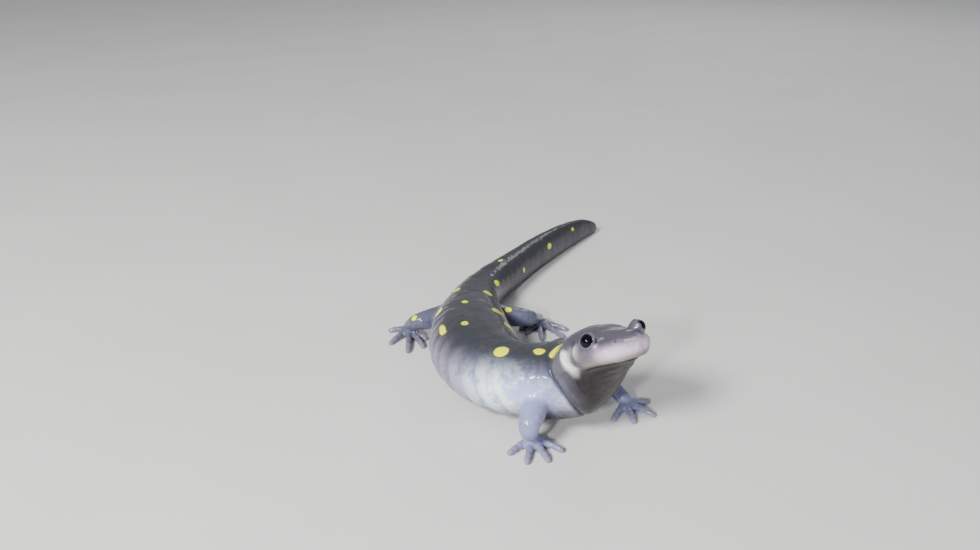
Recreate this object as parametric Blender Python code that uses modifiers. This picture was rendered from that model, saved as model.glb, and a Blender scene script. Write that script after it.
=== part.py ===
"""Spotted salamander, a still life-size model.

The animal stands on its forelegs with its head raised and turned, its trunk curled to one
side and its belly and tail on the floor.  The body is one smooth skin, lofted along the spine
and the limbs, and then parted by thin cuts into head, jaw, neck, trunk, tail and legs.

The head looks towards -Y and +X, the tail runs to +Y, and the floor is z = 0.
Lengths in this script are millimetres until the meshes are made, which are in metres.
"""

import math

import bmesh
import bpy
from mathutils import Matrix, Vector

# ---------------------------------------------------------------- driving dimensions (mm)
MM = 0.001
GAP = 0.3                       # width of every cut between two neighbours
BOX_CENTRE_SHIFT = (0.22, 0.67, 0.0)    # brings the whole box's middle over the origin
SECTION_POWER = 2.2             # superellipse exponent of the body's cross-sections
SKIN_VOXEL = 0.42               # grid on which the lofts are merged into one skin
SKIN_TRIANGLES = 5200
BODY_RING = 40                  # points round a body section
LIMB_RING = 16
STEPS = 6                       # rings between two stations
WELD = 0.01                     # points of the cut skin nearer than this are one
SLIVER_VOLUME = 1.0             # mm3; a smaller piece of the cut skin is left out

HEAD_HEADING = math.radians(30)         # turned from -Y towards +X
HEAD_PITCH = math.radians(23)           # raised above the horizontal
EYE_LINE = Vector((21.6, -69.5, 32.0))  # midway between the eyes
EYE_TO_SNOUT = 7.5
AXIS_BELOW_EYES = 3.2           # the head's loft axis runs this far below the eye line

EYE_RADIUS = 1.85
EYE_SIDE = 7.05                 # eyeball centre from the mid-plane
EYE_BACK = -0.5                  # and behind the eye line (negative: ahead of it)
EYE_DROP = 0.7                  # and below it
EYE_OUTWARD = (0.48, 0.80, 0.36)        # where the pupil points: forward, sideways, up
SOCKET_CLEARANCE = 0.3
LID_RADIUS = 2.3
LID_INSET = 0.62                # lid centre, inward from the eyeball centre

# Head sections: distance behind the snout, half width, height above and depth below the axis.
HEAD_SECTIONS = [
    (0.0, 1.5, 0.9, 1.2),
    (1.2, 4.9, 1.6, 3.2),
    (4.0, 7.1, 2.3, 4.0),
    (7.5, 8.1, 2.9, 4.5),
    (12.0, 9.1, 3.2, 5.3),
    (17.0, 8.9, 3.9, 6.8),
]
# Trunk and tail sections: x, y, z of the axis, half width, height above, depth below.
TRUNK_SECTIONS = [
    (12.8, -59.4, 19.2, 8.9, 4.0, 8.6),
    (6.6, -58.2, 14.8, 9.5, 6.4, 9.4),
    (-0.5, -53.7, 11.8, 10.3, 8.0, 9.8),
    (-6.8, -45.7, 9.8, 11.4, 8.8, 9.2),
    (-10.4, -34.5, 8.8, 12.0, 8.8, 9.1),
    (-11.6, -21.5, 7.8, 10.8, 8.2, 8.1),
    (-11.6, -10.0, 7.0, 8.9, 7.2, 7.3),
    (-10.2, 0.5, 6.6, 7.1, 6.5, 6.8),
    (-6.2, 11.5, 6.2, 5.9, 6.0, 6.4),
    (1.6, 26.5, 5.8, 4.8, 5.6, 6.0),
    (11.0, 42.0, 5.3, 3.9, 5.9, 5.5),
    (20.0, 55.5, 4.6, 3.1, 5.7, 4.8),
    (29.0, 68.0, 3.4, 2.1, 4.4, 3.6),
    (33.9, 74.4, 2.0, 1.2, 2.4, 2.2),
    (35.6, 77.05, 1.2, 0.45, 0.7, 1.0),
]
# The full throat is a second body under head and neck: distance behind the snout, height of
# its axis above the head's axis, half width, height above, depth below; then as the trunk.
THROAT_HEAD_SECTIONS = [
    (1.0, -2.2, 2.9, 0.9, 1.3),
    (2.8, -1.9, 3.9, 1.4, 2.0),
    (6.5, -2.9, 5.2, 2.8, 2.8),
    (12.0, -4.4, 6.9, 4.8, 4.7),
]
THROAT_NECK_SECTIONS = [
    (15.8, -62.3, 15.4, 7.9, 6.0, 8.6),
    (6.2, -58.6, 12.2, 7.8, 6.0, 9.4),
    (-3.0, -52.6, 10.5, 7.6, 6.0, 8.4),
]
# Each limb: the points root, upper, joint, lower and end as x, y, z, radius; the digits' tips;
# where the path is cut at the body and at the joint; the spine station that it grows from.
LIMBS = {
    "foreleg_right": {
        "path": [(6.0, -61.0, 12.8, 3.9), (5.0, -66.0, 10.6, 3.4), (3.2, -71.4, 7.4, 2.6),
                 (3.8, -69.6, 4.6, 2.0), (4.3, -67.0, 2.1, 1.8)],
        "digits": [(-1.6, -72.4), (2.6, -76.2), (7.9, -75.4), (11.6, -71.2)],
        "cuts": (1.3, 2.0), "root_station": 7},
    "foreleg_left": {
        "path": [(8.0, -55.2, 12.8, 3.9), (13.6, -48.4, 11.0, 3.4), (20.4, -45.8, 8.4, 2.6),
                 (25.6, -48.2, 4.9, 2.0), (29.2, -51.0, 2.1, 1.8)],
        "digits": [(35.8, -49.2), (36.2, -55.9), (30.5, -59.1), (25.2, -58.0)],
        "cuts": (1.0, 2.0), "root_station": 7},
    "hindleg_right": {
        "path": [(-16.0, -9.0, 6.2, 3.8), (-22.0, -11.5, 6.2, 3.2), (-27.0, -13.6, 6.0, 2.5),
                 (-29.4, -11.6, 4.0, 2.0), (-30.4, -9.4, 2.1, 1.8)],
        "digits": [(-25.0, -14.6), (-25.4, -19.7), (-29.8, -22.7), (-35.6, -17.4), (-36.6, -9.1)],
        "cuts": (1.1, 2.0), "root_station": 12},
    "hindleg_left": {
        "path": [(-6.0, -10.0, 6.2, 3.8), (-0.5, -11.0, 6.4, 3.2), (5.0, -11.6, 6.2, 2.5),
                 (7.4, -8.0, 4.1, 2.0), (8.8, -4.2, 2.1, 1.8)],
        "digits": [(3.2, -7.9), (5.0, -10.8), (9.6, -15.2), (16.4, -14.1), (17.6, -8.6)],
        "cuts": (1.0, 2.0), "root_station": 12},
}
LIMB_PIECES = {"foreleg": ("upper_arm", "forearm", "hand"), "hindleg": ("thigh", "shank", "foot")}
PALM_REACH = 0.42               # palm length as a share of the way to a digit's tip
PALM_HALF_WIDTH = 2.7
PALM_HALF_HEIGHT = 1.15
DIGIT_RADII = (1.05, 0.85, 0.78, 0.66)  # from the wrist out to the tip
DIGIT_HEIGHTS = (1.4, 1.15, 1.0, 0.55)  # of the digit's middle above the floor
LIMB_CUT_REACH = (1.75, 1.7)    # disc radius in limb radii, at the body and at the joint
WRIST_CUT_HEIGHT = 2.55         # wrists and ankles are parted by level cuts at this height
WRIST_CUT_RADIUS = 5.4

# Cuts across the spine, as the station number plus the fraction to the next one.
SPINE_PIECES = ["head", "neck", "trunk_front", "trunk_middle", "trunk_rear",
                "tail_base", "tail_middle", "tail_tip"]
SPINE_CUTS = [5.65, 6.3, 8.6, 10.5, 12.95, 15.0, 17.0]
NECK_CUTS = 2                   # the first cuts, which part the throat too
THROAT_DEPTH = 11.0
CUT_MARGIN = 1.5                # how far a cut reaches beyond the section

MOUTH_FRONT_DROP = 2.95         # mouth line below the loft axis, at the snout
MOUTH_LENGTH = 11.3             # from the snout back to the corner
MOUTH_SLOPE = math.radians(8)   # the mouth line falls towards its corner

COLOURS = {
    "back": (0.045, 0.050, 0.062),
    "head": (0.115, 0.105, 0.130),
    "jaw": (0.085, 0.072, 0.075),
    "limb": (0.130, 0.125, 0.210),
    "eye": (0.006, 0.006, 0.008),
}


# ---------------------------------------------------------------- the head's own axes
HEAD_FORWARD = Vector((math.sin(HEAD_HEADING) * math.cos(HEAD_PITCH),
                       -math.cos(HEAD_HEADING) * math.cos(HEAD_PITCH),
                       math.sin(HEAD_PITCH)))
HEAD_LEFT = Vector((0, 0, 1)).cross(HEAD_FORWARD).normalized()
HEAD_UP = HEAD_FORWARD.cross(HEAD_LEFT)


def head_point(behind_snout, left, above_axis):
    """A point given in the head's own axes, from the snout tip on the loft axis."""
    return (EYE_LINE + HEAD_FORWARD * (EYE_TO_SNOUT - behind_snout) + HEAD_LEFT * left
            + HEAD_UP * (above_axis - AXIS_BELOW_EYES))


def spine_stations():
    """All sections of head, trunk and tail as (x, y, z, half width, up, down)."""
    head = [(*head_point(back, 0, 0), wide, up, down) for back, wide, up, down in HEAD_SECTIONS]
    return head + TRUNK_SECTIONS


def throat_stations():
    """Sections of the throat and chest, from the chin back."""
    head = [(*head_point(back, 0, above), wide, up, down)
            for back, above, wide, up, down in THROAT_HEAD_SECTIONS]
    return head + THROAT_NECK_SECTIONS


# ---------------------------------------------------------------- curves and lofts
def mix(a, b, t):
    return [p + (q - p) * t for p, q in zip(a, b)]


def smooth_point(stations, place):
    """A point of the smooth curve through the stations, at station number `place`."""
    index = min(int(place), len(stations) - 2)
    t = place - index
    here, following = stations[index], stations[index + 1]
    before = stations[index - 1] if index else mix(following, here, 2.0)
    after = stations[index + 2] if index + 2 < len(stations) else mix(here, following, 2.0)

    def spacing(a, b):
        return max(math.dist(a[:3], b[:3]), 1e-6) ** 0.5

    d0, d1, d2 = spacing(before, here), spacing(here, following), spacing(following, after)
    point = []
    for p0, p1, p2, p3 in zip(before, here, following, after):
        m1 = p2 - p1 + d1 * ((p1 - p0) / d0 - (p2 - p0) / (d0 + d1))
        m2 = p2 - p1 + d1 * ((p3 - p2) / d2 - (p3 - p1) / (d1 + d2))
        a = 2 * (p1 - p2) + m1 + m2
        b = 3 * (p2 - p1) - 2 * m1 - m2
        point.append(p1 + t * (m1 + t * (b + t * a)))
    return point


def forward_at(stations, place):
    """Unit direction of the curve at `place`, towards lower station numbers."""
    step = 0.02
    last = len(stations) - 1
    ahead = Vector(smooth_point(stations, max(place - step, 0.0))[:3])
    behind = Vector(smooth_point(stations, min(place + step, last))[:3])
    return (ahead - behind).normalized()


def section_axes(forward, previous_side=None):
    """Side and up axes of a section; upright unless it follows a previous section's side."""
    if previous_side is None:
        side = Vector((0, 0, 1)).cross(forward).normalized()
    else:
        side = (previous_side - forward * previous_side.dot(forward)).normalized()
    return side, forward.cross(side)


def superellipse(angle, half_width, up, down):
    """Point of a body section: flatter than an ellipse, with its own height and depth."""
    def bulge(value):
        return math.copysign(abs(value) ** (2 / SECTION_POWER), value)
    height = up if math.sin(angle) > 0 else down
    return half_width * bulge(math.cos(angle)), height * bulge(math.sin(angle))


def add_loft(mesh, stations, ring, upright):
    """Loft a closed body through the stations and add it to the bmesh."""
    rings = []
    side = None if upright else Vector((0.31, 0.17, 0.93))
    for number in range((len(stations) - 1) * STEPS + 1):
        place = number / STEPS
        x, y, z, half_width, up, down = smooth_point(stations, place)
        forward = forward_at(stations, place)
        side, above = section_axes(forward, None if upright else side)
        centre = Vector((x, y, z))
        points = []
        for corner in range(ring):
            across, height = superellipse(2 * math.pi * corner / ring, half_width, up, down)
            points.append(mesh.verts.new((centre + side * across + above * height) * MM))
        rings.append(points)
    for front, back in zip(rings, rings[1:]):
        for corner in range(ring):
            following = (corner + 1) % ring
            mesh.faces.new((front[corner], back[corner], back[following], front[following]))
    mesh.faces.new(rings[0])
    mesh.faces.new(reversed(rings[-1]))


def add_tube(mesh, path):
    """Loft a round tube with a dome at each end through points (x, y, z, radius)."""
    def dome(end, inner):
        out = (Vector(end[:3]) - Vector(inner[:3])).normalized()
        cap = []
        for angle in (math.radians(85), math.radians(50)):
            centre = Vector(end[:3]) + out * end[3] * math.sin(angle)
            cap.append((*centre, end[3] * math.cos(angle)))
        return cap
    path = dome(path[0], path[1]) + list(path) + dome(path[-1], path[-2])[::-1]
    add_loft(mesh, [(x, y, z, r, r, r) for x, y, z, r in path], LIMB_RING, upright=False)


def add_ball(mesh, centre, radius):
    bmesh.ops.create_uvsphere(mesh, u_segments=20, v_segments=12, radius=radius * MM,
                              matrix=Matrix.Translation(centre * MM))


# ---------------------------------------------------------------- the skin's shapes
def eye_centre(side):
    """Centre of the eyeball on side +1 (left) or -1 (right)."""
    return (EYE_LINE - HEAD_FORWARD * EYE_BACK + HEAD_LEFT * side * EYE_SIDE
            - HEAD_UP * EYE_DROP)


def eye_direction(side):
    forward, sideways, up = EYE_OUTWARD
    return (HEAD_FORWARD * forward + HEAD_LEFT * side * sideways + HEAD_UP * up).normalized()


def add_palm(mesh, limb):
    """A flat pad from the wrist or ankle to the roots of the digits."""
    wrist = Vector(limb["path"][-1][:3])
    tips = [Vector((x, y, 0)) for x, y in limb["digits"]]
    middle = sum(tips, Vector()) / len(tips)
    reach = (middle - wrist).to_2d().to_3d() * PALM_REACH * 1.25
    stations = []
    for share, width in ((-0.25, 0.3), (0.0, 0.75), (0.5, 1.0), (0.9, 0.9), (1.15, 0.3)):
        point = wrist + reach * share
        height = PALM_HALF_HEIGHT * (1.15 if share < 0.3 else 0.95) * min(1.0, width + 0.2)
        stations.append((point.x, point.y, PALM_HALF_HEIGHT + 0.1,
                         PALM_HALF_WIDTH * width, height, height))
    add_loft(mesh, stations, LIMB_RING, upright=True)


def add_digits(mesh, limb):
    """Fingers or toes, fanned from the wrist or ankle to their tips."""
    start = limb["path"][-1]
    for tip in limb["digits"]:
        path = []
        for share, radius, height in zip((0.12, 0.45, 0.72, 0.95), DIGIT_RADII, DIGIT_HEIGHTS):
            path.append((start[0] + (tip[0] - start[0]) * share,
                         start[1] + (tip[1] - start[1]) * share, height, radius))
        add_tube(mesh, path)


def new_object(name, mesh, collection):
    """Turn a bmesh into an object of the collection."""
    bmesh.ops.recalc_face_normals(mesh, faces=mesh.faces)
    data = bpy.data.meshes.new(name)
    mesh.to_mesh(data)
    mesh.free()
    made = bpy.data.objects.new(name, data)
    collection.objects.link(made)
    return made


def apply_modifiers(target):
    """Replace the object's mesh with its evaluated one."""
    evaluated = target.evaluated_get(bpy.context.evaluated_depsgraph_get())
    data = bpy.data.meshes.new_from_object(evaluated)
    target.modifiers.clear()
    old = target.data
    target.data = data
    bpy.data.meshes.remove(old)


def label_pieces(mesh):
    """Number the faces of each connected piece, in mesh order; returns the face indices."""
    mesh.faces.ensure_lookup_table()
    seen = [False] * len(mesh.faces)
    groups = []
    for start in mesh.faces:
        if seen[start.index]:
            continue
        seen[start.index] = True
        group, border = set(), [start]
        while border:
            face = border.pop()
            group.add(face.index)
            for vert in face.verts:
                for other in vert.link_faces:
                    if not seen[other.index]:
                        seen[other.index] = True
                        border.append(other)
        groups.append(group)
    return sorted(groups, key=len, reverse=True)


def keep_largest_piece(target):
    """Drop the stray faces that the merging can leave beside the skin."""
    mesh = bmesh.new()
    mesh.from_mesh(target.data)
    largest = label_pieces(mesh)[0]
    others = [face for face in mesh.faces if face.index not in largest]
    bmesh.ops.delete(mesh, geom=others, context="FACES")
    mesh.to_mesh(target.data)
    mesh.free()


def make_skin(collection):
    """One closed, smooth skin over spine, limbs, palms, digits and eyelids."""
    mesh = bmesh.new()
    add_loft(mesh, spine_stations(), BODY_RING, upright=True)
    add_loft(mesh, throat_stations(), BODY_RING, upright=True)
    for limb in LIMBS.values():
        add_tube(mesh, limb["path"])
        add_palm(mesh, limb)
        add_digits(mesh, limb)
    for side in (1, -1):
        add_ball(mesh, eye_centre(side) - eye_direction(side) * LID_INSET, LID_RADIUS)
    skin = new_object("skin", mesh, collection)
    remesh = skin.modifiers.new("merge", "REMESH")
    remesh.mode = "VOXEL"
    remesh.voxel_size = SKIN_VOXEL * MM
    smooth = skin.modifiers.new("smooth", "SMOOTH")
    smooth.factor = 0.5
    smooth.iterations = 5
    apply_modifiers(skin)
    keep_largest_piece(skin)
    thin = skin.modifiers.new("thin", "DECIMATE")
    thin.ratio = SKIN_TRIANGLES / (2 * len(skin.data.polygons))
    thin.use_collapse_triangulate = True
    apply_modifiers(skin)
    return skin


# ---------------------------------------------------------------- cutters
def mark_as_cutter(cutter):
    cutter.hide_render = True
    cutter.display_type = "WIRE"
    return cutter


def disc_cutter(name, centre, axes, reach, collection):
    """An oval disc as thick as the gap; axes are side, above and the way that it faces."""
    mesh = bmesh.new()
    turn = Matrix(axes).transposed().to_4x4()
    shape = Matrix.Diagonal((reach[0] * MM, reach[1] * MM, GAP * MM, 1.0))
    bmesh.ops.create_cone(mesh, cap_ends=True, segments=48, radius1=1.0, radius2=1.0, depth=1.0,
                          matrix=Matrix.Translation(centre * MM) @ turn @ shape)
    return mark_as_cutter(new_object(name, mesh, collection))


def ball_cutter(name, centre, radius, collection):
    mesh = bmesh.new()
    add_ball(mesh, centre, radius)
    return mark_as_cutter(new_object(name, mesh, collection))


def floor_cutter(collection):
    """Everything below the floor; it leaves small flats under belly, tail and feet."""
    mesh = bmesh.new()
    size = Matrix.Diagonal((0.4, 0.4, 0.02, 1.0))
    bmesh.ops.create_cube(mesh, size=1.0, matrix=Matrix.Translation((0, 0, -0.01)) @ size)
    return mark_as_cutter(new_object("cut_floor", mesh, collection))


def jaw_cutter(collection):
    """The mouth slit and the cut behind it, as one bent plate in the head's side view."""
    slope = math.tan(MOUTH_SLOPE)
    corner_drop = MOUTH_FRONT_DROP + MOUTH_LENGTH * slope
    front, half_width, floor_drop = -4.0, 16.0, 16.0
    side_view = [                       # distance behind the snout, height above the axis
        (front, -MOUTH_FRONT_DROP - front * slope),
        (MOUTH_LENGTH + GAP, -corner_drop),
        (MOUTH_LENGTH + GAP, -floor_drop),
        (MOUTH_LENGTH, -floor_drop),
        (MOUTH_LENGTH, -corner_drop - GAP),
        (front, -MOUTH_FRONT_DROP - front * slope - GAP),
    ]
    mesh = bmesh.new()
    profile = [mesh.verts.new(head_point(back, -half_width, height) * MM)
               for back, height in side_view]
    face = mesh.faces.new(profile)
    grown = bmesh.ops.extrude_face_region(mesh, geom=[face])["geom"]
    moved = [item for item in grown if isinstance(item, bmesh.types.BMVert)]
    bmesh.ops.translate(mesh, verts=moved, vec=HEAD_LEFT * 2 * half_width * MM)
    return mark_as_cutter(new_object("cut_jaw", mesh, collection))


def all_cutters(collection):
    """Every cutter of the skin, in the order in which they are used."""
    cutters = [floor_cutter(collection)]
    for side, name in ((1, "left"), (-1, "right")):
        cutters.append(ball_cutter("cut_socket_" + name, eye_centre(side),
                                   EYE_RADIUS + SOCKET_CLEARANCE, collection))
    stations = spine_stations()
    for number, place in enumerate(SPINE_CUTS):
        x, y, z, half_width, up, down = smooth_point(stations, place)
        forward = forward_at(stations, place)
        side, above = section_axes(forward)
        if number < NECK_CUTS:          # these go through the throat as well
            down += THROAT_DEPTH
        centre = Vector((x, y, z)) + above * (up - down) / 2
        reach = (1.15 * half_width + CUT_MARGIN, 0.575 * (up + down) + CUT_MARGIN)
        cutters.append(disc_cutter(f"cut_spine_{number}", centre, (side, above, forward),
                                   reach, collection))
    for name, limb in LIMBS.items():
        for number, (place, reach) in enumerate(zip(limb["cuts"], LIMB_CUT_REACH)):
            x, y, z, radius = smooth_point(limb["path"], place)
            if number == 0:             # along the flank
                facing = section_axes(forward_at(stations, limb["root_station"]))[0]
            else:
                facing = forward_at(limb["path"], place)
            side, above = section_axes(facing)
            cutters.append(disc_cutter(f"cut_{name}_{number}", Vector((x, y, z)),
                                       (side, above, facing), (reach * radius,) * 2, collection))
        wrist = Vector((*limb["path"][-1][:2], WRIST_CUT_HEIGHT))
        cutters.append(disc_cutter(f"cut_{name}_wrist", wrist, Matrix.Identity(3),
                                   (WRIST_CUT_RADIUS,) * 2, collection))
    cutters.append(jaw_cutter(collection))
    return cutters


def cut_skin(skin, cutters):
    for cutter in cutters:
        cut = skin.modifiers.new(cutter.name, "BOOLEAN")
        cut.operation = "DIFFERENCE"
        cut.solver = "EXACT"
        cut.object = cutter
        apply_modifiers(skin)


# ---------------------------------------------------------------- parting the skin
def piece_markers():
    """A point in the middle of each piece of skin, by the piece's name."""
    stations = spine_stations()
    ends = [1.5, *SPINE_CUTS, len(stations) - 1.0]
    markers = {}
    for name, start, stop in zip(SPINE_PIECES, ends, ends[1:]):
        markers[name] = Vector(smooth_point(stations, (start + stop) / 2)[:3])
    markers["lower_jaw"] = head_point(MOUTH_LENGTH * 0.55, 0, -MOUTH_FRONT_DROP - 3.0)
    for name, limb in LIMBS.items():
        kind, side = name.split("_")
        first, second = limb["cuts"]
        tips = [Vector((x, y, 1.0)) for x, y in limb["digits"]]
        places = [smooth_point(limb["path"], (first + second) / 2),
                  smooth_point(limb["path"], second + 0.8)]
        points = [Vector(place[:3]) for place in places]
        points.append((sum(tips, Vector()) / len(tips) + Vector(limb["path"][-1][:3])) / 2)
        for piece, point in zip(LIMB_PIECES[kind], points):
            markers[f"{piece}_{side}"] = point
    return markers


def part_skin(skin, collection):
    """Make one object of each connected piece of the cut skin, named by its marker."""
    whole = bmesh.new()
    whole.from_mesh(skin.data)
    bmesh.ops.remove_doubles(whole, verts=whole.verts, dist=WELD * MM)
    bmesh.ops.dissolve_degenerate(whole, edges=whole.edges, dist=WELD * MM)
    markers = piece_markers()
    pieces = {}
    for group in label_pieces(whole):
        mesh = whole.copy()
        others = [face for face in mesh.faces if face.index not in group]
        bmesh.ops.delete(mesh, geom=others, context="FACES")
        bmesh.ops.triangulate(mesh, faces=mesh.faces)
        if abs(mesh.calc_volume()) < SLIVER_VOLUME * MM ** 3:
            mesh.free()                 # a shaving between two cuts that meet
            continue
        middle = sum((vert.co for vert in mesh.verts), Vector()) / len(mesh.verts) / MM
        name = min(markers, key=lambda key: (markers[key] - middle).length)
        if name in pieces:
            raise RuntimeError(f"a loose piece of {len(group)} faces beside {name}, {middle}")
        pieces[name] = new_object(name, mesh, collection)
    whole.free()
    bpy.data.objects.remove(skin)
    missing = sorted(set(markers) - set(pieces))
    if missing:
        raise RuntimeError("no piece of skin for " + ", ".join(missing))
    return pieces


def make_eye(name, side, collection):
    """An eyeball: a UV sphere whose pole is the middle of the pupil."""
    mesh = bmesh.new()
    turn = eye_direction(side).to_track_quat("Z", "Y").to_matrix().to_4x4()
    bmesh.ops.create_uvsphere(mesh, u_segments=20, v_segments=12, radius=EYE_RADIUS * MM,
                              matrix=Matrix.Translation(eye_centre(side) * MM) @ turn)
    return new_object(name, mesh, collection)


# ---------------------------------------------------------------- finish
def paint(target, colour, roughness):
    """Give the object its own Principled material."""
    material = bpy.data.materials.new(target.name)
    material.use_nodes = True
    shader = material.node_tree.nodes["Principled BSDF"]
    shader.inputs["Base Color"].default_value = (*colour, 1.0)
    shader.inputs["Roughness"].default_value = roughness
    shader.inputs["Metallic"].default_value = 0.0
    target.data.materials.clear()
    target.data.materials.append(material)


def colour_of(name):
    if name.startswith("eye"):
        return COLOURS["eye"], 0.08
    if name == "lower_jaw":
        return COLOURS["jaw"], 0.35
    if name in ("head", "neck"):
        return COLOURS["head"], 0.32
    if name.startswith(("trunk", "tail")):
        return COLOURS["back"], 0.32
    return COLOURS["limb"], 0.35


def centre_origin(target, parent):
    """Put the object's origin at the middle of its box and hang it on the parent."""
    corners = [Vector(corner) for corner in target.bound_box]
    middle = (corners[0] + corners[6]) / 2
    target.data.transform(Matrix.Translation(-middle))
    target.location = middle
    target.parent = parent


def main():
    for old in list(bpy.data.objects):
        bpy.data.objects.remove(old)
    salamander = bpy.data.collections.new("salamander")
    cutters = bpy.data.collections.new("cutters")
    bpy.context.scene.collection.children.link(salamander)
    bpy.context.scene.collection.children.link(cutters)

    skin = make_skin(salamander)
    cut_skin(skin, all_cutters(cutters))
    pieces = part_skin(skin, salamander)
    for side, name in ((1, "eye_left"), (-1, "eye_right")):
        pieces[name] = make_eye(name, side, salamander)

    body = bpy.data.objects.new("salamander", None)
    body.location = Vector(BOX_CENTRE_SHIFT) * MM
    salamander.objects.link(body)
    for name, piece in pieces.items():
        colour, roughness = colour_of(name)
        paint(piece, colour, roughness)
        centre_origin(piece, body)
        piece.data.shade_smooth()
        piece.data.set_sharp_from_angle(angle=math.radians(40))


main()
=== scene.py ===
import math

import bmesh
import bpy
import numpy as np
from bpy.props import FloatProperty, FloatVectorProperty, IntProperty, PointerProperty
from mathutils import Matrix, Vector


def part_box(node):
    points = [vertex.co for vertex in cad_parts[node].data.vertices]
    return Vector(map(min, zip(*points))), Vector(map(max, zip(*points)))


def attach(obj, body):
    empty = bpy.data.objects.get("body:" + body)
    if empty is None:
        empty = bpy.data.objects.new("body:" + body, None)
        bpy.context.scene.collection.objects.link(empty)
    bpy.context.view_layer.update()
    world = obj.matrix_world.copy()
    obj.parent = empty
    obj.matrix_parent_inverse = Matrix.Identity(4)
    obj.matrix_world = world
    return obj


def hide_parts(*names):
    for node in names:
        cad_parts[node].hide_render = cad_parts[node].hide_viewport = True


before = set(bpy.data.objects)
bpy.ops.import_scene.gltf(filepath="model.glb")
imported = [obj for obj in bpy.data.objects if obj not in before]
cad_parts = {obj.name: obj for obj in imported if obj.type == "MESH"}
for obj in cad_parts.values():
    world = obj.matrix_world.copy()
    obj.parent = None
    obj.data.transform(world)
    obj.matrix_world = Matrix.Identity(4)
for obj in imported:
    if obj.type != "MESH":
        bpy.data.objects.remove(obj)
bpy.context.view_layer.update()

bl_info = {
    "name": "Spotted salamander",
    "version": (1, 0, 0),
    "blender": (4, 5, 0),
    "location": "3D View > Sidebar > Salamander",
    "description": "Dresses the salamander's solids in one spotted skin with two wet eyes",
    "category": "Object",
}

MM = 0.001


def box_middle(node):
    low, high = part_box(node)
    return (np.array(low) + np.array(high)) / 2 / MM


def box_radius(node):
    low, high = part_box(node)
    return float(np.min(np.array(high) - np.array(low))) / 2 / MM


def unit(vector):
    return vector / np.linalg.norm(vector)


# ---------------------------------------------------------------- the head's own axes (mm)
EYE_RADIUS = box_radius("eye_left")
EYE_LEFT = box_middle("eye_left")
EYE_RIGHT = box_middle("eye_right")
HEAD_PITCH = math.radians(23)           # raised above the horizontal
EYE_BACK = -0.5                         # eyeball centres behind the eye line (negative: ahead)
EYE_DROP = 0.7
HEAD_LEFT = unit(EYE_LEFT - EYE_RIGHT)
LEVEL_FORWARD = np.array([HEAD_LEFT[1], -HEAD_LEFT[0], 0.0])
HEAD_FORWARD = LEVEL_FORWARD * math.cos(HEAD_PITCH) + np.array([0, 0, math.sin(HEAD_PITCH)])
HEAD_UP = np.cross(HEAD_FORWARD, HEAD_LEFT)
EYE_TO_SNOUT = 7.5
AXIS_BELOW_EYES = 3.2
SNOUT = ((EYE_LEFT + EYE_RIGHT) / 2 + HEAD_FORWARD * (EYE_BACK + EYE_TO_SNOUT)
         + HEAD_UP * (EYE_DROP - AXIS_BELOW_EYES))
EYE_OUTWARD = (0.48, 0.80, 0.36)        # where the pupil points: forward, sideways, up
BOX_CENTRE_SHIFT = np.array([0.22, 0.67, 0.0])

# ---------------------------------------------------------------- sections of the body (mm)
# Head: distance behind the snout, half width, height above and depth below the axis.
HEAD_SECTIONS = [
    (0.0, 1.5, 0.9, 1.2),
    (1.2, 4.9, 1.6, 3.2),
    (4.0, 7.1, 2.3, 4.0),
    (7.5, 8.1, 2.9, 4.5),
    (12.0, 9.1, 3.2, 5.3),
    (17.0, 8.9, 3.9, 6.8),
]
# Trunk and tail: x, y, z of the axis, half width, height above, depth below.
TRUNK_SECTIONS = [
    (12.8, -59.4, 19.2, 8.9, 4.0, 8.6),
    (6.6, -58.2, 14.8, 9.5, 6.4, 9.4),
    (-0.5, -53.7, 11.8, 10.3, 8.0, 9.8),
    (-6.8, -45.7, 9.8, 11.4, 8.8, 9.2),
    (-10.4, -34.5, 8.8, 12.0, 8.8, 9.1),
    (-11.6, -21.5, 7.8, 10.8, 8.2, 8.1),
    (-11.6, -10.0, 7.0, 8.9, 7.2, 7.3),
    (-10.2, 0.5, 6.6, 7.1, 6.5, 6.8),
    (-6.2, 11.5, 6.2, 5.9, 6.0, 6.4),
    (1.6, 26.5, 5.8, 4.8, 5.6, 6.0),
    (11.0, 42.0, 5.3, 3.9, 5.9, 5.5),
    (20.0, 55.5, 4.6, 3.1, 5.7, 4.8),
    (29.0, 68.0, 3.4, 2.1, 4.4, 3.6),
    (33.9, 74.4, 2.0, 1.2, 2.4, 2.2),
    (35.6, 77.05, 1.2, 0.45, 0.7, 1.0),
]
# The full throat under head and neck: distance behind the snout and height of its axis above
# the head's axis, half width, height above, depth below; then as the trunk.
THROAT_HEAD_SECTIONS = [
    (1.0, -2.2, 2.9, 0.9, 1.3),
    (2.8, -1.9, 3.9, 1.4, 2.0),
    (6.5, -2.9, 5.2, 2.8, 2.8),
    (12.0, -4.4, 6.9, 4.8, 4.7),
]
THROAT_NECK_SECTIONS = [
    (15.8, -62.3, 15.4, 7.9, 6.0, 8.6),
    (6.2, -58.6, 12.2, 7.8, 6.0, 9.4),
    (-3.0, -52.6, 10.5, 7.6, 6.0, 8.4),
]
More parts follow.
